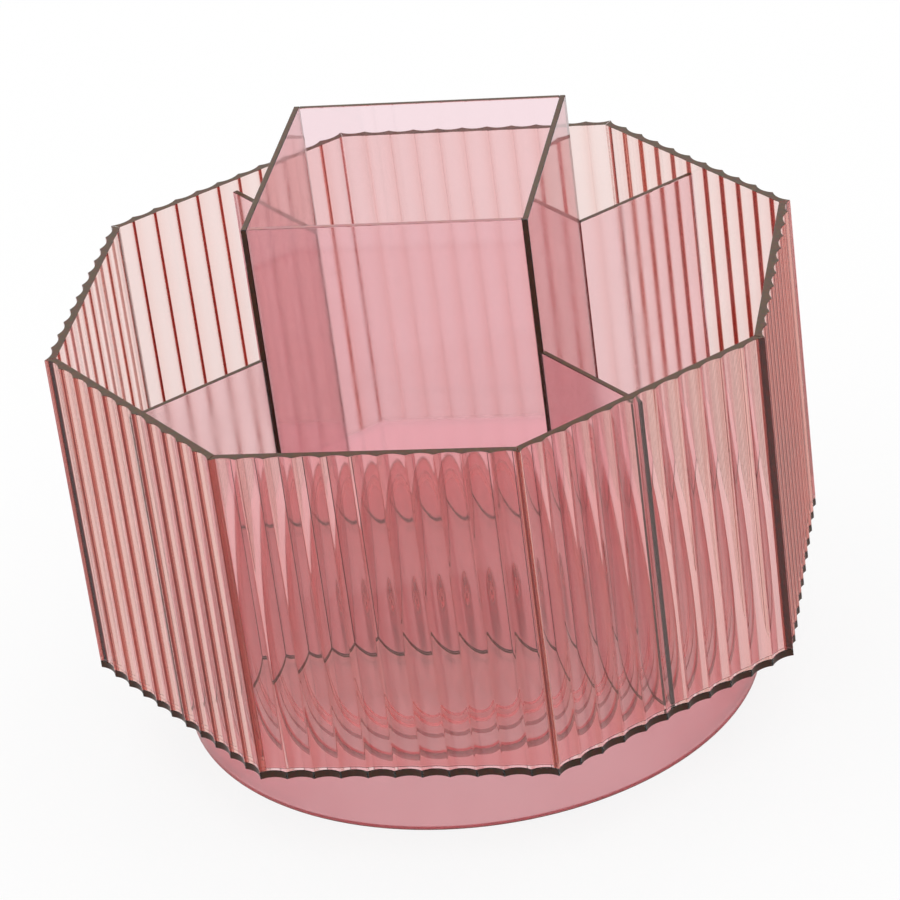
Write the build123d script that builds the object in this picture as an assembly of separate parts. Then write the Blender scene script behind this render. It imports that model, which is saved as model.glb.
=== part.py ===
from build123d import *
import os
from math import cos, pi, sqrt, tan

# Rotating pen holder in clear sheet, millimetres, +Z up.
# The origin is on the table, on the upright axis that the drum turns about. The front faces -Y.

# The film of cement or air between pieces that touch, and how far a cut runs past what it cuts
film = 0.05
overrun = 1.0

# Drum: fluted walls, mitred at the corners, on an octagonal floor with the same fluted outline
WALL_NAMES = ["front", "front_right", "right", "back_right", "back", "back_left", "left", "front_left"]
across_flats = 150.0
wall_height = 73.75
wall_web = 1.5
flute_depth = 0.85
flutes_per_wall = 11
floor_sheet = 1.7

# Tower: a square tube of flat panels, the side panels as deep as the tower
tower_width = 59.0
tower_sheet = 1.2
tower_rise = 27.5

# Dividers: flat plates from the tower's corners to the diagonal walls
CORNER_NAMES = ["front_right", "back_right", "back_left", "front_left"]
divider_sheet = 1.2
divider_drop = 2.5

# Base: a round cup, open side down, with a thin deck on top and a hub under it
base_diameter = 127.0
base_height = 18.3
base_wall = 2.4
deck_sheet = 1.0
base_edge_radius = 1.0
base_rim_radius = 0.3

# Turntable: a disc under the floor, with a ring rib that glides on the base's deck
disc_margin = 4.0
disc_sheet = 1.0
disc_gap = 1.65
rib_margin = 6.0
rib_width = 2.0
glide_gap = 0.15

# Spindle: below the disc, in a flanged bush in the base's hub
spindle_diameter = 12.0
running_clearance = 0.05
bush_wall = 1.5
bush_flange_width = 1.7
bush_flange_sheet = 1.0
hub_length = 8.5
hub_wall = 2.5
end_float = 0.3

# Washer and screw on the spindle's end, with a cross recess in shares of the screw's head
washer_overhang = 4.0
washer_sheet = 1.2
screw_diameter = 4.0
screw_grip = 8.0
screw_hole_clearance = 0.15
screw_pilot_spare = 1.0
head_diameter = 8.0
head_height = 2.6
cross_length_share = 0.56
cross_width_share = 0.16
cross_depth_share = 0.55

# Levels
deck_bottom = base_height - deck_sheet
hub_bottom = base_height - hub_length
flange_bottom = hub_bottom - film - bush_flange_sheet
washer_top = flange_bottom - end_float
washer_bottom = washer_top - washer_sheet
disc_bottom = base_height + disc_gap
disc_top = disc_bottom + disc_sheet
drum_bottom = disc_top + film
floor_top = drum_bottom + floor_sheet
panel_bottom = floor_top + film
rim = panel_bottom + wall_height
divider_top = rim - divider_drop
tower_top = rim + tower_rise

# Plan sizes
side_turn = 360 / len(WALL_NAMES)
half_corner = pi / len(WALL_NAMES)
corner_turn = 360 / len(CORNER_NAMES)
ridge_apothem = across_flats / 2
inner_apothem = ridge_apothem - flute_depth - wall_web
disc_diameter = base_diameter - 2 * disc_margin
rib_diameter = disc_diameter - 2 * rib_margin
bush_bore = spindle_diameter + 2 * running_clearance
bush_diameter = bush_bore + 2 * bush_wall
hub_bore = bush_diameter + 2 * film

FROM_BOTTOM = (Align.CENTER, Align.CENTER, Align.MIN)


def round_bar(diameter, bottom, top):
    """Upright cylinder on the axis, between two levels."""
    return Pos(0, 0, bottom) * Cylinder(diameter / 2, top - bottom, align=FROM_BOTTOM)


def ring(outer_diameter, inner_diameter, bottom, top):
    """Upright tube on the axis, between two levels."""
    return round_bar(outer_diameter, bottom, top) - round_bar(inner_diameter, bottom - overrun, top + overrun)


def round_edges(body):
    """Round edges of a body, from the lowest to the highest."""
    return body.edges().filter_by(GeomType.CIRCLE).sort_by(Axis.Z)


def upright_plate(outline, bottom, top):
    """Flat outline in plan, raised between two levels."""
    return Pos(0, 0, bottom) * extrude(make_face(outline), amount=top - bottom, dir=(0, 0, 1))


def wall_half_width(apothem):
    """Half the width of a wall at a distance from the axis, less its half of the film in the mitre."""
    return apothem * tan(half_corner) - film / 2 / cos(half_corner)


def flutes(half_width):
    """Outside of one wall in plan, across the front: hollow flutes with sharp ridges between them."""
    pitch = 2 * half_width / flutes_per_wall
    ridges = [-half_width + step * pitch for step in range(flutes_per_wall + 1)]
    return [
        ThreePointArc(
            (left, -ridge_apothem),
            ((left + right) / 2, -ridge_apothem + flute_depth),
            (right, -ridge_apothem),
        )
        for left, right in zip(ridges, ridges[1:])
    ]


def fluted_wall(number):
    """One wall: fluted outside, flat inside, its ends mitred."""
    outer_half = wall_half_width(ridge_apothem)
    inner_half = wall_half_width(inner_apothem)
    back = Polyline(
        (outer_half, -ridge_apothem),
        (inner_half, -inner_apothem),
        (-inner_half, -inner_apothem),
        (-outer_half, -ridge_apothem),
    )
    return Rot(0, 0, number * side_turn) * upright_plate([*flutes(outer_half), back], panel_bottom, rim)


def floor_plate():
    """Octagonal floor under the walls, its edge fluted as they are."""
    half_width = ridge_apothem * tan(half_corner)
    outline = [
        Rot(0, 0, number * side_turn) * flute
        for number in range(len(WALL_NAMES))
        for flute in flutes(half_width)
    ]
    return upright_plate(outline, drum_bottom, floor_top)


def tower_panel(width, turn):
    """One side of the tower, made at the front and turned into place."""
    panel = Box(width, tower_sheet, tower_top - panel_bottom, align=FROM_BOTTOM)
    return Rot(0, 0, turn) * Pos(0, (tower_sheet - tower_width) / 2, panel_bottom) * panel


def divider(turn):
    """Upright plate on a diagonal, notched to sit on the tower's corner."""
    corner = (tower_width / 2 + film) * sqrt(2)
    half_sheet = divider_sheet / 2
    wall_end = inner_apothem - film
    outline = Polyline(
        (0, -corner),
        (half_sheet, half_sheet - corner),
        (half_sheet, -wall_end),
        (-half_sheet, -wall_end),
        (-half_sheet, half_sheet - corner),
        close=True,
    )
    return Rot(0, 0, turn) * upright_plate(outline, panel_bottom, divider_top)


def turntable_disc():
    """Disc under the floor, with the glide rib and the spindle below it."""
    spindle_bottom = washer_top + film
    pilot_top = washer_top + screw_grip + screw_pilot_spare
    body = round_bar(disc_diameter, disc_bottom, disc_top)
    body += ring(rib_diameter, rib_diameter - 2 * rib_width, base_height + glide_gap, disc_bottom)
    body += round_bar(spindle_diameter, spindle_bottom, disc_bottom)
    return body - round_bar(screw_diameter + 2 * film, spindle_bottom - overrun, pilot_top)


def retaining_washer():
    """Washer on the spindle's end, wider than the bush."""
    hole = screw_diameter + 2 * screw_hole_clearance
    return ring(spindle_diameter + 2 * washer_overhang, hole, washer_bottom, washer_top)


def spindle_screw():
    """Pan-head screw from below, through the washer into the spindle."""
    head_top = washer_bottom - film
    head_bottom = head_top - head_height
    head = round_bar(head_diameter, head_bottom, head_top)
    head = fillet(round_edges(head)[0], head_height / 2)
    slot = Pos(0, 0, head_bottom) * Box(
        head_diameter * cross_length_share,
        head_diameter * cross_width_share,
        2 * head_height * cross_depth_share,
    )
    return head + round_bar(screw_diameter, head_top, washer_top + screw_grip) - slot - Rot(0, 0, 90) * slot


def base_shell():
    """Round cup, open side down: wall, thin deck, and the hub under the deck."""
    body = round_bar(base_diameter, 0, base_height)
    body = fillet(round_edges(body)[-1], base_edge_radius)
    body -= round_bar(base_diameter - 2 * base_wall, -overrun, deck_bottom)
    body = fillet(round_edges(body).group_by(Axis.Z)[0], base_rim_radius)
    body += round_bar(hub_bore + 2 * hub_wall, hub_bottom, deck_bottom)
    return body - round_bar(hub_bore, hub_bottom - overrun, base_height + overrun)


def spindle_bush():
    """Flanged bush in the hub, which the spindle turns in."""
    bush = round_bar(bush_diameter, flange_bottom, base_height)
    bush += round_bar(bush_diameter + 2 * bush_flange_width, flange_bottom, hub_bottom - film)
    return bush - round_bar(bush_bore, flange_bottom - overrun, base_height + overrun)


def pieces():
    """Every piece by its name."""
    inset_width = tower_width - 2 * (tower_sheet + film)
    named = {f"wall_{name}": fluted_wall(number) for number, name in enumerate(WALL_NAMES)}
    named["floor_plate"] = floor_plate()
    named["tower_front"] = tower_panel(inset_width, 0)
    named["tower_right"] = tower_panel(tower_width, 90)
    named["tower_back"] = tower_panel(inset_width, 180)
    named["tower_left"] = tower_panel(tower_width, 270)
    for number, name in enumerate(CORNER_NAMES):
        named[f"divider_{name}"] = divider((number + 1 / 2) * corner_turn)
    named["turntable_disc"] = turntable_disc()
    named["retaining_washer"] = retaining_washer()
    named["spindle_screw"] = spindle_screw()
    named["base_shell"] = base_shell()
    named["spindle_bush"] = spindle_bush()
    return named


os.makedirs("parts", exist_ok=True)
for node, shape in pieces().items():
    export_step(shape, f"parts/{node}.step")
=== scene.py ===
import math

import bmesh
import bpy
from bpy.props import FloatProperty, FloatVectorProperty, IntProperty, PointerProperty
from mathutils import Matrix, Vector


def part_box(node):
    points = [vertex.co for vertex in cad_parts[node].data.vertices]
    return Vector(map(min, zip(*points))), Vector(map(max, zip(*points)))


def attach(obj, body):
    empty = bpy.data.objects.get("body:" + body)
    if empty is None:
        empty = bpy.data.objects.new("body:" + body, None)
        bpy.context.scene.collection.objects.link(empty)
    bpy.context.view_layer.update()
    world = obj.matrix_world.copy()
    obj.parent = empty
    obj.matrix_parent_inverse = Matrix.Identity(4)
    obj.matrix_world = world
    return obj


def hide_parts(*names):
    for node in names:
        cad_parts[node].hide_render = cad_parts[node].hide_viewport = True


bl_info = {
    "name": "Rotating pen holder",
    "version": (1, 0, 0),
    "blender": (4, 5, 0),
    "location": "3D View > Sidebar > Pen holder",
    "description": "Sheets, finishes and stage of a rotating pen holder in clear pink plastic",
    "category": "Object",
}

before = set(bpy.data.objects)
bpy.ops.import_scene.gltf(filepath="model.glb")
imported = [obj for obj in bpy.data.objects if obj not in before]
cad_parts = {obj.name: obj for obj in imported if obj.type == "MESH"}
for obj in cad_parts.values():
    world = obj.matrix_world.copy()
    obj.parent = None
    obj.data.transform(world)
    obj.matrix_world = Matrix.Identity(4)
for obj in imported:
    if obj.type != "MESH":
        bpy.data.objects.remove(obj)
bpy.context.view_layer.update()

MM = 0.001

# Sides of the drum, counted from the front to the right, half the turn from one to the next,
# the turn of each from the front, and the way that it faces
SIDES = [
    "front", "front_right", "right", "back_right", "back", "back_left", "left", "front_left",
]
HALF_TURN = math.pi / len(SIDES)
SIDE_TURNS = [2 * HALF_TURN * number for number in range(len(SIDES))]
OUTWARD = {
    side: Vector((math.sin(turn), -math.cos(turn), 0)) for side, turn in zip(SIDES, SIDE_TURNS)
}
UP = Vector((0, 0, 1))

# Sides of the tower, and the diagonal walls that the dividers run to
TOWER_SIDES = ["front", "right", "back", "left"]
CORNERS = ["front_right", "back_right", "back_left", "front_left"]

# Way that the front wall's right end faces, and the walls whose right end has a dark seam of
# painted shade
RIGHT_END = Vector((math.cos(HALF_TURN), math.sin(HALF_TURN), 0))
MITRE_SHADE_SIDES = ["front_right", "back_left"]

# Places of the edges' materials on a sheet and on a round piece, where 0 is the clear plastic. All
# but the ground edges are dark colours of painted shade.
EDGE_SHADE, SEAM_SHADE, MITRE_SHADE, GROUND, FOOT_SHADE = range(1, 6)
GROUND_RIM, FOOT_RIM_SHADE = range(1, 3)

# A face looks along an axis from this cosine on, and stands upright below this rise of its normal
FACING = 0.9
UPRIGHT = 0.5

# A face on a round piece's outer edge lies past this share of the radius, and looks outwards by
# more than this share of it. Its corners keep to the edge's levels within the slack.
RIM_REACH = 0.95
RIM_FACING = 0.1
LEVEL_SLACK = 0.01 * MM

# Corners of a solid this close are one, and faces that turn by less are one flat face
WELD = 0.001 * MM
FLAT_ANGLE = math.radians(1)

# Size of each sheet's faint waves along x, y and z in millimetres, and the height of all of them
DRAW_LINES_MM = (2, 2, 60)
CAST_WAVES_MM = (14, 14, 14)
FLOW_WAVES_MM = (10, 10, 10)
WAVE_HEIGHT = 0.0008 * MM

# Roughness of the clearest and of the haziest spots of each finish, and how large the spots are
POLISHED_HAZE = (0, 0.03)
DEEP_HAZE = (0.02, 0.06)
CAST_HAZE = (0.04, 0.08)
RUBBED_HAZE = (0.07, 0.12)
DISC_HAZE = (0.12, 0.2)
BASE_HAZE = (0.3, 0.4)
HAZE_SPOT_MM = 9

# Values of the noise that give a pattern's lowest and highest level
HAZE_NOISE = (0.35, 0.75)
SHADE_NOISE = (0.3, 0.7)

# How far the floor lies under the base, so that the two share no surface, and its corners
FLOOR_DROP = 0.02 * MM
FLOOR_CORNERS = 96

# Width of the camera's sensor
SENSOR_MM = 36

# Bounces that light needs to pass every sheet, and to be mirrored between them
CLEAR_BOUNCES = 48
GLOSS_BOUNCES = 16


def linear(hex_colour):
    """Linear red, green and blue of an sRGB hex colour."""
    channels = [int(hex_colour[place:place + 2], 16) / 255 for place in (1, 3, 5)]
    return tuple(c / 12.92 if c <= 0.04045 else ((c + 0.055) / 1.055) ** 2.4 for c in channels)


class SheetForm(bpy.types.PropertyGroup):
    """Sizes that the solids' boxes don't give."""

    flutes: IntProperty(
        name="Flutes", description="Hollow flutes on each wall", default=11, min=1,
    )
    flute_depth: FloatProperty(
        name="Flute depth", description="From a ridge's tip to the bottom of the flute beside it",
        default=0.85 * MM, unit="LENGTH", precision=5,
    )
    flute_steps: IntProperty(
        name="Flute steps", description="Flat strips that make up one flute's arc",
        default=24, min=4,
    )
    ridge_round: FloatProperty(
        name="Ridge round", description="Radius of the round ridge between two flutes",
        default=0.4 * MM, unit="LENGTH", precision=5,
    )
    ridge_steps: IntProperty(
        name="Ridge steps", description="Flat strips that make up one ridge's round",
        default=8, min=2,
    )
    edge_round: FloatProperty(
        name="Edge round", description="Width of the polished round on every sheet edge",
        default=0.12 * MM, unit="LENGTH", precision=5,
    )
    # Painted shade: width of the dark strip at a sheet's foot
    foot_shade_width: FloatProperty(
        name="Seam width", description="Width of the dark seam where a sheet stands on the floor",
        default=0.5 * MM, unit="LENGTH", precision=5,
    )
    # Painted shade: width of the dark strip where a front divider meets its wall
    divider_seam_shade: FloatProperty(
        name="Divider seam", description="Width of the dark seam where a divider meets a wall",
        default=0.8 * MM, unit="LENGTH", precision=5,
    )
    # Painted shade: share of the mitre painted dark, from the outside inwards
    mitre_shade_share: FloatProperty(
        name="Mitre share",
        description="Share of a dark mitre that is cemented, from the outside inwards",
        default=0.7, min=0, max=1, subtype="FACTOR",
    )
    # The floor's dark edge is painted shade
    ridge_gap: FloatProperty(
        name="Ridge gap",
        description="How far below its ridges the floor's edge starts to look dark",
        default=0.12 * MM, unit="LENGTH", precision=5,
    )
    ground_rim: FloatProperty(
        name="Ground rim", description="Height of the ground band at the top of the disc and base",
        default=2 * MM, unit="LENGTH", precision=5,
    )
    # Painted shadow: height of the dark band painted where the base meets the floor
    foot_rim_shade_height: FloatProperty(
        name="Sawn rim", description="Height of the dark edge that the base stands on",
        default=0.3 * MM, unit="LENGTH", precision=5,
    )
    sharp_angle: FloatProperty(
        name="Sharp angle", description="Edges that turn by more than this stay crisp",
        default=math.radians(12), subtype="ANGLE",
    )


class PlasticFinish(bpy.types.PropertyGroup):
    """Colours of the clear plastic, of its edges and of the small parts."""

    wall_tint: FloatVectorProperty(
        name="Wall tint", description="White light after one millimetre of the fluted sheet",
        default=linear("#FAEDEA"), subtype="COLOR", size=3, min=0, max=1,
    )
    panel_tint: FloatVectorProperty(
        name="Panel tint", description="White light after one millimetre of the flat sheet",
        default=linear("#FAE7EC"), subtype="COLOR", size=3, min=0, max=1,
    )
    floor_tint: FloatVectorProperty(
        name="Floor tint", description="White light after one millimetre of the floor plate",
        default=linear("#FFEDEE"), subtype="COLOR", size=3, min=0, max=1,
    )
    # Painted shade: a deeper tint than the other panels, for the darker look of the tower's sides
    side_shade_tint: FloatVectorProperty(
        name="Side tint", description="White light after one millimetre of the tower's sides",
        default=linear("#EEC6CA"), subtype="COLOR", size=3, min=0, max=1,
    )
    disc_tint: FloatVectorProperty(
        name="Disc tint", description="White light after one millimetre of the turntable disc",
        default=linear("#FFF0EE"), subtype="COLOR", size=3, min=0, max=1,
    )
    base_tint: FloatVectorProperty(
        name="Base tint", description="White light after one millimetre of the moulded base",
        default=linear("#FFE3E6"), subtype="COLOR", size=3, min=0, max=1,
    )
    # Painted shade: the dark of a sheet's top edge, where light is lost inside the sheet
    edge_shade_colour: FloatVectorProperty(
        name="Edge colour", description="Colour of a sheet's sawn edge",
        default=linear("#5C4331"), subtype="COLOR", size=3, min=0, max=1,
    )
    # Painted shade: the dark strip where a sheet stands on the floor
    foot_shade_colour: FloatVectorProperty(
        name="Foot colour", description="Colour of the seam where a sheet stands on the floor",
        default=linear("#715033"), subtype="COLOR", size=3, min=0, max=1,
    )
    # Painted shade: the dark of a cemented seam
    seam_shade_colour: FloatVectorProperty(
        name="Seam colour", description="Colour of a cemented seam",
        default=linear("#3C2318"), subtype="COLOR", size=3, min=0, max=1,
    )
    # Painted shade: the dark red-brown of a mitred corner
    mitre_shade_colour: FloatVectorProperty(
        name="Mitre colour", description="Colour of a mitred corner's cemented seam",
        default=linear("#75281A"), subtype="COLOR", size=3, min=0, max=1,
    )
    rim_colour: FloatVectorProperty(
        name="Rim colour", description="Colour of a ground edge",
        default=linear("#BE8A8A"), subtype="COLOR", size=3, min=0, max=1,
    )
    bush_colour: FloatVectorProperty(
        name="Bush colour", description="Colour of the spindle's bush and washer",
        default=linear("#EDE7DC"), subtype="COLOR", size=3, min=0, max=1,
    )
    steel_colour: FloatVectorProperty(
        name="Steel colour", description="Colour of the spindle's screw",
        default=linear("#C9C9C6"), subtype="COLOR", size=3, min=0, max=1,
    )
    refraction: FloatProperty(
        name="Refraction", description="Index of refraction of the clear plastic",
        default=1.49, min=1,
    )


class StageSetup(bpy.types.PropertyGroup):
    """Floor and camera."""

    floor_colour: FloatVectorProperty(
        name="Floor colour", description="Colour of the floor",
        default=linear("#FFFFFF"), subtype="COLOR", size=3, min=0, max=1,
    )
    floor_white: FloatProperty(
        name="Floor white",
        description="Share of plain white in the floor where the camera sees it",
        default=0.85, min=0, max=1, subtype="FACTOR",
    )
    floor_glow: FloatProperty(
        name="Floor glow",
        description="Share of plain white in the floor where it is seen through the plastic",
        default=0.55, min=0, max=1, subtype="FACTOR",
    )
    floor_radius: FloatProperty(
        name="Floor radius", description="Radius of the round floor",
        default=6.0, unit="LENGTH",
    )
    camera_turn: FloatProperty(
        name="Camera turn",
        description="Camera's place round the axis, from the front to the right",
        default=math.radians(12.51), subtype="ANGLE",
    )
    camera_height: FloatProperty(
        name="Camera height", description="Angle that the camera looks down by",
        default=math.radians(28.91), subtype="ANGLE",
    )
    camera_roll: FloatProperty(
        name="Camera roll", description="Lean of the camera about its line of sight",
        default=math.radians(-7.67), subtype="ANGLE",
    )
    camera_distance: FloatProperty(
        name="Camera distance", description="From the camera to the point that it looks at",
        default=881.3 * MM, unit="LENGTH",
    )
    camera_aim: FloatVectorProperty(
        name="Camera aim", description="Point that the camera looks at",
        default=(0.9 * MM, 0.2 * MM, 54.9 * MM), subtype="XYZ", size=3, unit="LENGTH",
    )
    lens: FloatProperty(name="Lens", description="Focal length in millimetres", default=163.87)


class PenHolder(bpy.types.PropertyGroup):
    """All settings of the pen holder."""

    form: PointerProperty(type=SheetForm)
    finish: PointerProperty(type=PlasticFinish)
    stage: PointerProperty(type=StageSetup)


# Materials

def add_node(tree, kind, inputs=None, **settings):
    """Adds a node with its settings. An input is linked to a socket, and set to anything else."""
    made = tree.nodes.new(kind)
    for name, value in settings.items():
        setattr(made, name, value)
    for name, value in (inputs or {}).items():
        if isinstance(value, bpy.types.NodeSocket):
            tree.links.new(value, made.inputs[name])
        else:
            made.inputs[name].default_value = value
    return made


def empty_material(name):
    """Material of that name, which pieces share, and its node tree with nothing in it."""
    material = bpy.data.materials.get(name) or bpy.data.materials.new(name)
    material.use_nodes = True
    material.node_tree.nodes.clear()
    return material, material.node_tree


def clear_plastic(name, tint, refraction, waves_mm, haze_range):
    """Clear plastic: see-through, and pinker and darker the longer the way through it.

    Its waves have the given sizes along x, y and z, and the haze range is its least and greatest
    roughness.
    """
    material, tree = empty_material(name)
    place = add_node(tree, "ShaderNodeTexCoord").outputs["Object"]
    stretched = add_node(
        tree, "ShaderNodeMapping",
        {"Vector": place, "Scale": [1 / (size * MM) for size in waves_mm]},
    )
    waves = add_node(
        tree, "ShaderNodeTexNoise",
        {"Vector": stretched.outputs["Vector"], "Scale": 1, "Detail": 1},
    )
    bump = add_node(
        tree, "ShaderNodeBump",
        {"Height": waves.outputs["Fac"], "Distance": WAVE_HEIGHT, "Strength": 1},
    )
    spots = add_node(
        tree, "ShaderNodeTexNoise",
        {"Vector": place, "Scale": 1 / (HAZE_SPOT_MM * MM), "Detail": 3},
    )
    haze = add_node(
        tree, "ShaderNodeMapRange",
        {
            "Value": spots.outputs["Fac"],
            "From Min": HAZE_NOISE[0], "From Max": HAZE_NOISE[1],
            "To Min": haze_range[0], "To Max": haze_range[1],
        },
    )
    surface = add_node(
        tree, "ShaderNodeBsdfPrincipled",
        {
            "Base Color": (1, 1, 1, 1),
            "Roughness": haze.outputs["Result"],
            "IOR": refraction,
            "Transmission Weight": 1,
            "Normal": bump.outputs["Normal"],
        },
    )
    depth = add_node(
        tree, "ShaderNodeVolumeAbsorption", {"Color": (*tint, 1), "Density": 1 / MM}
    )
    add_node(
        tree, "ShaderNodeOutputMaterial",
        {"Surface": surface.outputs["BSDF"], "Volume": depth.outputs["Volume"]},
    )
    return material


def fluted_sheet(finish):
    """Pink acrylic drawn out with flutes: faint draw lines run up and down it."""
    return clear_plastic(
        "fluted_pink_acrylic", finish.wall_tint, finish.refraction, DRAW_LINES_MM, POLISHED_HAZE
    )


def flat_sheet(name, tint, finish, haze_range):
    """Pink acrylic cast flat and cut: slow waves, and a haze that softens what is far behind."""
    return clear_plastic(name, tint, finish.refraction, CAST_WAVES_MM, haze_range)


def moulded_plastic(name, tint, finish, haze_range):
    """Pink acrylic moulded in the round: slow flow waves, and a haze from the mould's surface."""
    return clear_plastic(name, tint, finish.refraction, FLOW_WAVES_MM, haze_range)


def mottled_solid(name, colour, spread, spot_mm, **sockets):
    """Solid surface whose colour wavers by a share of itself, in spots of the given size."""
    material, tree = empty_material(name)
    place = add_node(tree, "ShaderNodeTexCoord").outputs["Object"]
    spots = add_node(
        tree, "ShaderNodeTexNoise",
        {"Vector": place, "Scale": 1 / (spot_mm * MM), "Detail": 2},
    )
    shades = add_node(
        tree, "ShaderNodeMapRange",
        {
            "Vector": spots.outputs["Color"],
            "From Min": (SHADE_NOISE[0],) * 3, "From Max": (SHADE_NOISE[1],) * 3,
            "To Min": tuple((1 - spread) * c for c in colour),
            "To Max": tuple((1 + spread) * c for c in colour),
        },
        data_type="FLOAT_VECTOR",
    )
    surface = add_node(
        tree, "ShaderNodeBsdfPrincipled", {"Base Color": shades.outputs["Vector"], **sockets}
    )
    add_node(tree, "ShaderNodeOutputMaterial", {"Surface": surface.outputs["BSDF"]})
    return material


def painted_edge_shade(finish):
    """Painted shade on a sawn edge of pink acrylic: a dark colour for the light that the long way
    through the sheet takes.
    """
    return mottled_solid(
        "shaded_pink_acrylic_edge", finish.edge_shade_colour, spread=0.3, spot_mm=0.8,
        **{"Roughness": 0.35, "IOR": finish.refraction, "Specular IOR Level": 0.25},
    )


def cemented_seam_shade(name, colour, finish):
    """Painted shade on an edge of pink acrylic cemented to the next sheet: a dark colour for the
    little light that comes back.
    """
    return mottled_solid(
        name, colour, spread=0.3, spot_mm=0.8,
        **{"Roughness": 0.35, "IOR": finish.refraction, "Specular IOR Level": 0.2},
    )


def ground_edge(finish):
    """Edge of pink acrylic ground smooth: matt and dusky pink, as it scatters the light."""
    return mottled_solid(
        "ground_pink_acrylic_edge", finish.rim_colour, spread=0.08, spot_mm=1.5,
        **{"Roughness": 0.6, "IOR": finish.refraction},
    )


def turned_acetal(finish):
    """Natural acetal, turned: creamy with a soft shine, and milky, so most light comes through."""
    return mottled_solid(
        "turned_natural_acetal", finish.bush_colour, spread=0.03, spot_mm=2.0,
        **{"Roughness": 0.35, "IOR": 1.48, "Transmission Weight": 0.95},
    )


def plated_steel(finish):
    """Steel plated with zinc: pale grey metal with a faint mottle."""
    return mottled_solid(
        "zinc_plated_steel", finish.steel_colour, spread=0.05, spot_mm=0.6,
        **{"Roughness": 0.3, "Metallic": 1},
    )


def edge_materials(finish):
    """Materials of a sheet's edges, in the order of their places after the clear plastic; all but
    the ground edge are painted shade.
    """
    return [
        painted_edge_shade(finish),
        cemented_seam_shade("shaded_pink_acrylic_seam", finish.seam_shade_colour, finish),
        cemented_seam_shade("shaded_pink_acrylic_mitre", finish.mitre_shade_colour, finish),
        ground_edge(finish),
        cemented_seam_shade("shaded_pink_acrylic_foot", finish.foot_shade_colour, finish),
    ]


def finish_piece(piece, materials):
    """Gives a piece its materials."""
    for number, material in enumerate(materials):
        if number < len(piece.data.materials):
            piece.data.materials[number] = material
        else:
            piece.data.materials.append(material)


# Shapes of the sheets

def arc_points(centre_x, centre_y, radius, start, end, steps):
    """Points of an arc between two angles, without its last point. Angle zero is along +y."""
    angles = [start + (end - start) * step / steps for step in range(steps)]
    return [(centre_x + radius * math.sin(a), centre_y + radius * math.cos(a)) for a in angles]


def flute_points(form, half):
    """Plan of one side's flutes and round ridges across the front, without its last point."""
    ridge_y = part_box("wall_front")[0].y
    pitch = 2 * half / form.flutes
    radius = (pitch ** 2 / 4 + form.flute_depth ** 2) / (2 * form.flute_depth)
    centre_y = ridge_y + form.flute_depth - radius
    corner = math.asin(pitch / 2 / radius)
    reach = math.asin(pitch / 2 / (radius + form.ridge_round))
    ridge_centre_y = centre_y + (radius + form.ridge_round) * math.cos(reach)
    points = []
    for flute in range(form.flutes):
        middle = -half + (flute + 0.5) * pitch
        first = flute == 0
        last = flute == form.flutes - 1
        start = -corner if first else -reach
        end = corner if last else reach
        points += arc_points(middle, centre_y, radius, start, end, form.flute_steps)
        if not last:
            points += arc_points(
                middle + pitch / 2, ridge_centre_y, -form.ridge_round, reach, -reach,
                form.ridge_steps,
            )
    return points


def wall_outline(form):
    """Plan of the front wall: flutes along the outside, flat inside, mitred ends."""
    low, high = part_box("wall_front")
    half = high.x
    inner_half = half - (high.y - low.y) * math.tan(HALF_TURN)
    return flute_points(form, half) + [
        (half, low.y), (inner_half, high.y), (-inner_half, high.y),
    ]


def floor_outline(form):
    """Plan of the floor: the flutes of all eight sides."""
    half = -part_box("wall_front")[0].y * math.tan(HALF_TURN)
    points = [Vector(point) for point in flute_points(form, half)]
    turns = [Matrix.Rotation(turn, 2) for turn in SIDE_TURNS]
    return [(turn @ point)[:] for turn in turns for point in points]


def prism(outline, bottom, top):
    """Closed mesh of a plan outline raised between two levels."""
    mesh = bmesh.new()
    lower = [mesh.verts.new((x, y, bottom)) for x, y in outline]
    upper = [mesh.verts.new((x, y, top)) for x, y in outline]
    mesh.faces.new(list(reversed(lower)))
    mesh.faces.new(upper)
    for here in range(len(outline)):
        after = (here + 1) % len(outline)
        mesh.faces.new((lower[here], lower[after], upper[after], upper[here]))
    return mesh


def solid_copy(node):
    """Edited mesh with the solid's own corners, its flat faces whole."""
    mesh = bmesh.new()
    mesh.from_mesh(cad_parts[node].data)
    bmesh.ops.remove_doubles(mesh, verts=mesh.verts, dist=WELD)
    bmesh.ops.dissolve_limit(
        mesh, angle_limit=FLAT_ANGLE, verts=mesh.verts, edges=mesh.edges,
        use_dissolve_boundaries=False,
    )
    return mesh


def cut_across(mesh, place, axis):
    """Cuts every face that a plane passes through."""
    bmesh.ops.bisect_plane(
        mesh, geom=[*mesh.verts, *mesh.edges, *mesh.faces], plane_co=place, plane_no=axis
    )


def round_edges(mesh, form):
    """Gives every crisp edge the small round of a polished sheet."""
    crisp = [edge for edge in mesh.edges if edge.calc_face_angle(0) > form.sharp_angle]
    bmesh.ops.bevel(
        mesh, geom=crisp, offset=form.edge_round, offset_type="OFFSET", segments=2, profile=0.5,
        affect="EDGES", clamp_overlap=True,
    )


def new_piece(name, mesh, body, node, sharp_angle):
    """Turns an edited mesh into a piece that stands for a node and rides on its body."""
    data = bpy.data.meshes.new(name)
    if mesh.calc_volume(signed=True) < 0:
        bmesh.ops.reverse_faces(mesh, faces=mesh.faces)
    mesh.to_mesh(data)
    mesh.free()
    data.shade_smooth()
    data.set_sharp_from_angle(angle=sharp_angle)
    piece = bpy.data.objects.new(name, data)
    bpy.context.scene.collection.objects.link(piece)
    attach(piece, body)
    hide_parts(node)
    return piece


# Faces that get an edge's material

def mark_faces(mesh, axis, place):
    """Gives the faces that look along an axis another of the materials."""
    mesh.normal_update()
    for face in mesh.faces:
        if face.normal.dot(axis) > FACING:
            face.material_index = place


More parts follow.
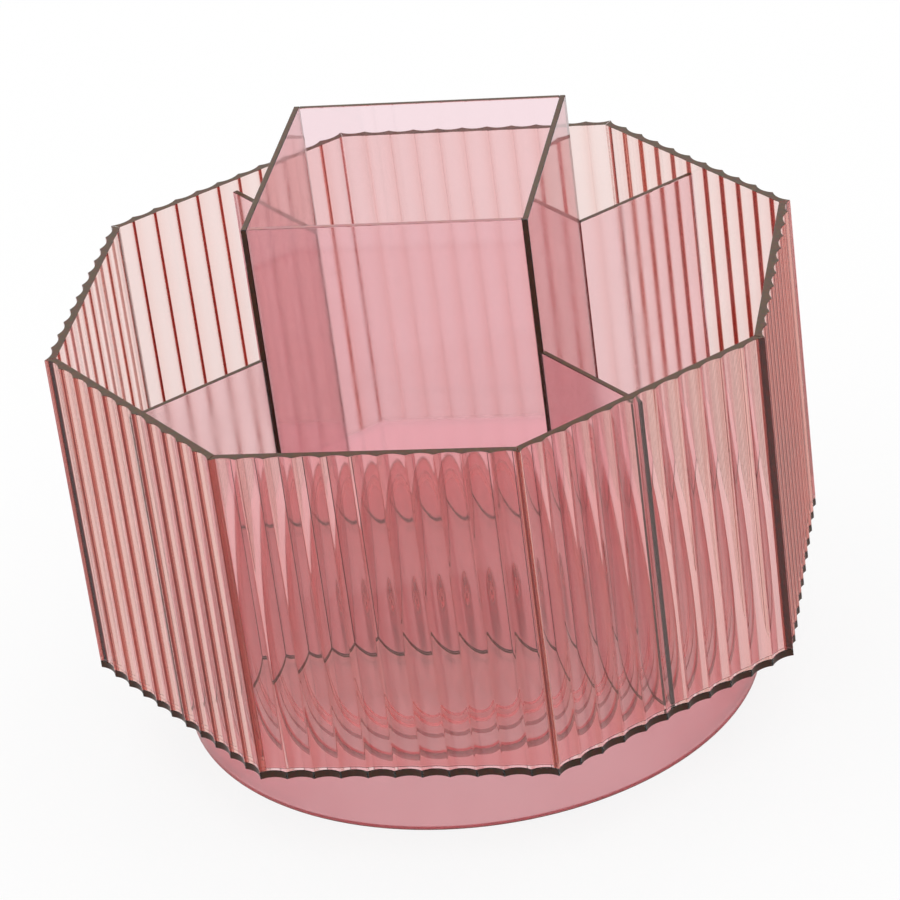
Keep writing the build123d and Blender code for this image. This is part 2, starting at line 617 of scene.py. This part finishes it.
def mark_strip(mesh, axis, width, place):
    """Cuts a strip at the piece's end along an axis, and gives it another of the materials."""
    cut = max(vertex.co.dot(axis) for vertex in mesh.verts) - width
    cut_across(mesh, cut * axis, axis)
    for face in mesh.faces:
        if face.calc_center_median().dot(axis) > cut:
            face.material_index = place


def mark_mitre_shade(mesh, share):
    """Gives the outer share of the front wall's right mitred end the mitre's dark material as
    painted shade.
    """
    low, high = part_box("wall_front")
    cut = low.y + share * (high.y - low.y)
    cut_across(mesh, (0, cut, 0), (0, 1, 0))
    mesh.normal_update()
    for face in mesh.faces:
        if face.normal.dot(RIGHT_END) > FACING and face.calc_center_median().y < cut:
            face.material_index = MITRE_SHADE


def mark_flute_shade(mesh, ridge_gap):
    """Gives the flutes round the floor's edge the seam's dark material as painted shade, but leaves
    ridges clear.
    """
    ridges = max(vertex.co.dot(OUTWARD["front"]) for vertex in mesh.verts)
    mesh.normal_update()
    for face in mesh.faces:
        reach = max(face.calc_center_median().dot(axis) for axis in OUTWARD.values())
        if abs(face.normal.z) < UPRIGHT and reach < ridges - ridge_gap:
            face.material_index = SEAM_SHADE


def mark_rim(mesh, bottom, top, place):
    """Gives a round piece's outer edge another of its materials, between two levels."""
    widest = max(vertex.co.xy.length for vertex in mesh.vertices)
    for face in mesh.polygons:
        outward = face.normal.xy.dot(face.center.xy) > RIM_FACING * widest
        outermost = face.center.xy.length > RIM_REACH * widest
        levels = [mesh.vertices[corner].co.z for corner in face.vertices]
        between = bottom - LEVEL_SLACK < min(levels) and max(levels) < top + LEVEL_SLACK
        if outward and outermost and between:
            face.material_index = place


class PENHOLDER_OT_walls(bpy.types.Operator):
    """Eight fluted walls with mitred ends"""

    bl_idname = "penholder.walls"
    bl_label = "Fluted walls"

    def execute(self, context):
        settings = context.scene.pen_holder
        form = settings.form
        materials = [fluted_sheet(settings.finish), *edge_materials(settings.finish)]
        low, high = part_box("wall_front")
        for side, turn in zip(SIDES, SIDE_TURNS):
            mesh = prism(wall_outline(form), low.z, high.z)
            # Painted shade on the wall's top edge
            mark_faces(mesh, UP, EDGE_SHADE)
            # Painted shade on the outer part of some walls' right mitre
            if side in MITRE_SHADE_SIDES:
                mark_mitre_shade(mesh, form.mitre_shade_share)
            round_edges(mesh, form)
            mesh.transform(Matrix.Rotation(turn, 4, "Z"))
            piece = new_piece(
                f"fluted_wall_{side}", mesh, "drum", f"wall_{side}", form.sharp_angle
            )
            finish_piece(piece, materials)
        return {"FINISHED"}


def floor_mesh(form):
    """Floor plate with flutes round its edge, dark with painted shade."""
    low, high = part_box("floor_plate")
    mesh = prism(floor_outline(form), low.z, high.z)
    # Painted shade on the flutes round the edge
    mark_flute_shade(mesh, form.ridge_gap)
    return mesh


def tower_mesh(side, form):
    """One side of the tower: a seam at its foot and edges that show at its top and ends, dark with
    painted shade where they are not ground.
    """
    mesh = solid_copy(f"tower_{side}")
    # Painted shade on the top edge, except the front's top, which is ground
    mark_faces(mesh, UP, GROUND if side == "front" else EDGE_SHADE)
    # Painted shade in a strip at the foot
    mark_strip(mesh, -UP, form.foot_shade_width, FOOT_SHADE)
    if side in ("left", "right"):
        # Painted shade on the sides' front ends
        mark_faces(mesh, OUTWARD["front"], SEAM_SHADE)
        mark_faces(mesh, OUTWARD["back"], GROUND)
    return mesh


def divider_mesh(corner, form):
    """One divider: a seam at its foot, a sawn top, and a seam at the wall if it is at the front,
    all dark with painted shade.
    """
    mesh = solid_copy(f"divider_{corner}")
    # Painted shade on the divider's top edge
    mark_faces(mesh, UP, EDGE_SHADE)
    # Painted shade in a strip at the foot
    mark_strip(mesh, -UP, form.foot_shade_width, FOOT_SHADE)
    if corner.startswith("front"):
        # Painted shade where a front divider meets its wall
        mark_strip(mesh, OUTWARD[corner], form.divider_seam_shade, SEAM_SHADE)
    return mesh


class PENHOLDER_OT_panels(bpy.types.Operator):
    """Floor plate, tower panels and dividers, cut from flat sheet"""

    bl_idname = "penholder.panels"
    bl_label = "Flat panels"

    def execute(self, context):
        form = context.scene.pen_holder.form
        finish = context.scene.pen_holder.finish
        # The haze is least where the back walls' lines show sharp, and most in the dividers
        clear = flat_sheet("polished_pink_acrylic", finish.panel_tint, finish, POLISHED_HAZE)
        warm = flat_sheet("polished_warm_pink_acrylic", finish.floor_tint, finish, POLISHED_HAZE)
        cast = flat_sheet("cast_pink_acrylic", finish.panel_tint, finish, CAST_HAZE)
        side_shade_sheet = flat_sheet("cast_shaded_pink_acrylic", finish.side_shade_tint, finish, DEEP_HAZE)
        rubbed = flat_sheet("rubbed_pink_acrylic", finish.panel_tint, finish, RUBBED_HAZE)
        # The sides' deeper tint is painted shade
        tower_sheets = {"front": cast, "right": side_shade_sheet, "back": clear, "left": side_shade_sheet}
        edges = edge_materials(finish)
        panels = [("floor_plate", floor_mesh(form), warm)]
        for side in TOWER_SIDES:
            panels.append((f"tower_{side}", tower_mesh(side, form), tower_sheets[side]))
        for corner in CORNERS:
            panels.append((f"divider_{corner}", divider_mesh(corner, form), rubbed))
        for node, mesh, sheet in panels:
            round_edges(mesh, form)
            piece = new_piece(f"{node}_sheet", mesh, "drum", node, form.sharp_angle)
            finish_piece(piece, [sheet, *edges])
        return {"FINISHED"}


class PENHOLDER_OT_base(bpy.types.Operator):
    """Turntable disc and the base it turns on"""

    bl_idname = "penholder.base"
    bl_label = "Turntable and base"

    def execute(self, context):
        form = context.scene.pen_holder.form
        finish = context.scene.pen_holder.finish
        edges = [ground_edge(finish), painted_edge_shade(finish)]
        looks = {
            "turntable_disc": (finish.disc_tint, DISC_HAZE),
            "base_shell": (finish.base_tint, BASE_HAZE),
        }
        for node, (tint, haze_range) in looks.items():
            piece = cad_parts[node]
            clear = moulded_plastic(f"moulded_pink_acrylic_{node}", tint, finish, haze_range)
            finish_piece(piece, [clear, *edges])
            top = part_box(node)[1].z
            mark_rim(piece.data, top - form.ground_rim, top, GROUND_RIM)
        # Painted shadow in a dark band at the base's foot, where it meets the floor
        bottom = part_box("base_shell")[0].z
        mark_rim(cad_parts["base_shell"].data, bottom, bottom + form.foot_rim_shade_height, FOOT_RIM_SHADE)
        return {"FINISHED"}


class PENHOLDER_OT_spindle(bpy.types.Operator):
    """Bush, washer and screw of the spindle"""

    bl_idname = "penholder.spindle"
    bl_label = "Spindle parts"

    def execute(self, context):
        finish = context.scene.pen_holder.finish
        acetal = turned_acetal(finish)
        finish_piece(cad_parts["spindle_bush"], [acetal])
        finish_piece(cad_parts["retaining_washer"], [acetal])
        finish_piece(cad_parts["spindle_screw"], [plated_steel(finish)])
        return {"FINISHED"}


def white_paper(setup):
    """White paper: plain white to the camera, less so through the plastic, and it takes shadow."""
    material, tree = empty_material("white_paper_floor")
    seen = add_node(tree, "ShaderNodeLightPath")
    direct = add_node(
        tree, "ShaderNodeMath",
        {0: seen.outputs["Is Camera Ray"], 1: setup.floor_white}, operation="MULTIPLY",
    )
    through = add_node(
        tree, "ShaderNodeMath",
        {0: seen.outputs["Is Transmission Ray"], 1: seen.outputs["Is Glossy Ray"]},
        operation="MAXIMUM",
    )
    dimmed = add_node(
        tree, "ShaderNodeMath",
        {0: through.outputs["Value"], 1: setup.floor_glow}, operation="MULTIPLY",
    )
    share = add_node(
        tree, "ShaderNodeMath",
        {0: direct.outputs["Value"], 1: dimmed.outputs["Value"]}, operation="MAXIMUM",
    )
    paper = add_node(tree, "ShaderNodeBsdfDiffuse", {"Color": (*setup.floor_colour, 1)})
    white = add_node(tree, "ShaderNodeEmission", {"Color": (1, 1, 1, 1), "Strength": 1})
    both = add_node(
        tree, "ShaderNodeMixShader",
        {"Fac": share.outputs["Value"], 1: paper.outputs["BSDF"], 2: white.outputs["Emission"]},
    )
    add_node(tree, "ShaderNodeOutputMaterial", {"Surface": both.outputs["Shader"]})
    return material


def lay_floor(scene, setup):
    """Round pale floor just under the base."""
    mesh = bmesh.new()
    bmesh.ops.create_circle(
        mesh, cap_ends=True, segments=FLOOR_CORNERS, radius=setup.floor_radius
    )
    data = bpy.data.meshes.new("floor")
    mesh.to_mesh(data)
    mesh.free()
    data.materials.append(white_paper(setup))
    floor = bpy.data.objects.new("floor", data)
    floor.location.z = -FLOOR_DROP
    scene.collection.objects.link(floor)


def light_evenly(scene):
    """White studio light from all round."""
    world = bpy.data.worlds.new("white_studio")
    world.use_nodes = True
    tree = world.node_tree
    tree.nodes.clear()
    sky = add_node(tree, "ShaderNodeBackground", {"Color": (1, 1, 1, 1), "Strength": 1})
    add_node(tree, "ShaderNodeOutputWorld", {"Surface": sky.outputs["Background"]})
    scene.world = world
    scene.view_settings.view_transform = "Standard"
    scene.cycles.max_bounces = CLEAR_BOUNCES
    scene.cycles.transmission_bounces = CLEAR_BOUNCES
    scene.cycles.glossy_bounces = GLOSS_BOUNCES


def place_camera(scene, setup):
    """Camera at the given angles, looking at its aim."""
    data = bpy.data.cameras.new("camera")
    data.lens = setup.lens
    data.sensor_width = SENSOR_MM
    camera = bpy.data.objects.new("camera", data)
    scene.collection.objects.link(camera)
    turn = Matrix.Rotation(setup.camera_turn, 4, "Z")
    tilt = Matrix.Rotation(math.pi / 2 - setup.camera_height, 4, "X")
    roll = Matrix.Rotation(setup.camera_roll, 4, "Z")
    back = Matrix.Translation((0, 0, setup.camera_distance))
    camera.matrix_world = Matrix.Translation(setup.camera_aim) @ turn @ tilt @ roll @ back
    scene.camera = camera


class PENHOLDER_OT_stage(bpy.types.Operator):
    """Pale floor, even white light and the camera"""

    bl_idname = "penholder.stage"
    bl_label = "Stage"

    def execute(self, context):
        setup = context.scene.pen_holder.stage
        lay_floor(context.scene, setup)
        light_evenly(context.scene)
        place_camera(context.scene, setup)
        return {"FINISHED"}


OPERATORS = [
    PENHOLDER_OT_walls,
    PENHOLDER_OT_panels,
    PENHOLDER_OT_base,
    PENHOLDER_OT_spindle,
    PENHOLDER_OT_stage,
]


class PENHOLDER_PT_panel(bpy.types.Panel):
    """Settings of the pen holder and the steps that make it"""

    bl_idname = "PENHOLDER_PT_panel"
    bl_label = "Pen holder"
    bl_space_type = "VIEW_3D"
    bl_region_type = "UI"
    bl_category = "Pen holder"

    def draw(self, context):
        settings = context.scene.pen_holder
        for group in (settings.form, settings.finish, settings.stage):
            box = self.layout.box()
            for name in group.__annotations__:
                box.prop(group, name)
        for operator in OPERATORS:
            self.layout.operator(operator.bl_idname)


CLASSES = [SheetForm, PlasticFinish, StageSetup, PenHolder, *OPERATORS, PENHOLDER_PT_panel]


def register():
    for kind in CLASSES:
        bpy.utils.register_class(kind)
    bpy.types.Scene.pen_holder = PointerProperty(type=PenHolder)


def unregister():
    del bpy.types.Scene.pen_holder
    for kind in reversed(CLASSES):
        bpy.utils.unregister_class(kind)


def main():
    """Makes every piece and the stage."""
    register()
    bpy.ops.penholder.walls()
    bpy.ops.penholder.panels()
    bpy.ops.penholder.base()
    bpy.ops.penholder.spindle()
    bpy.ops.penholder.stage()


if __name__ == "__main__":
    main()
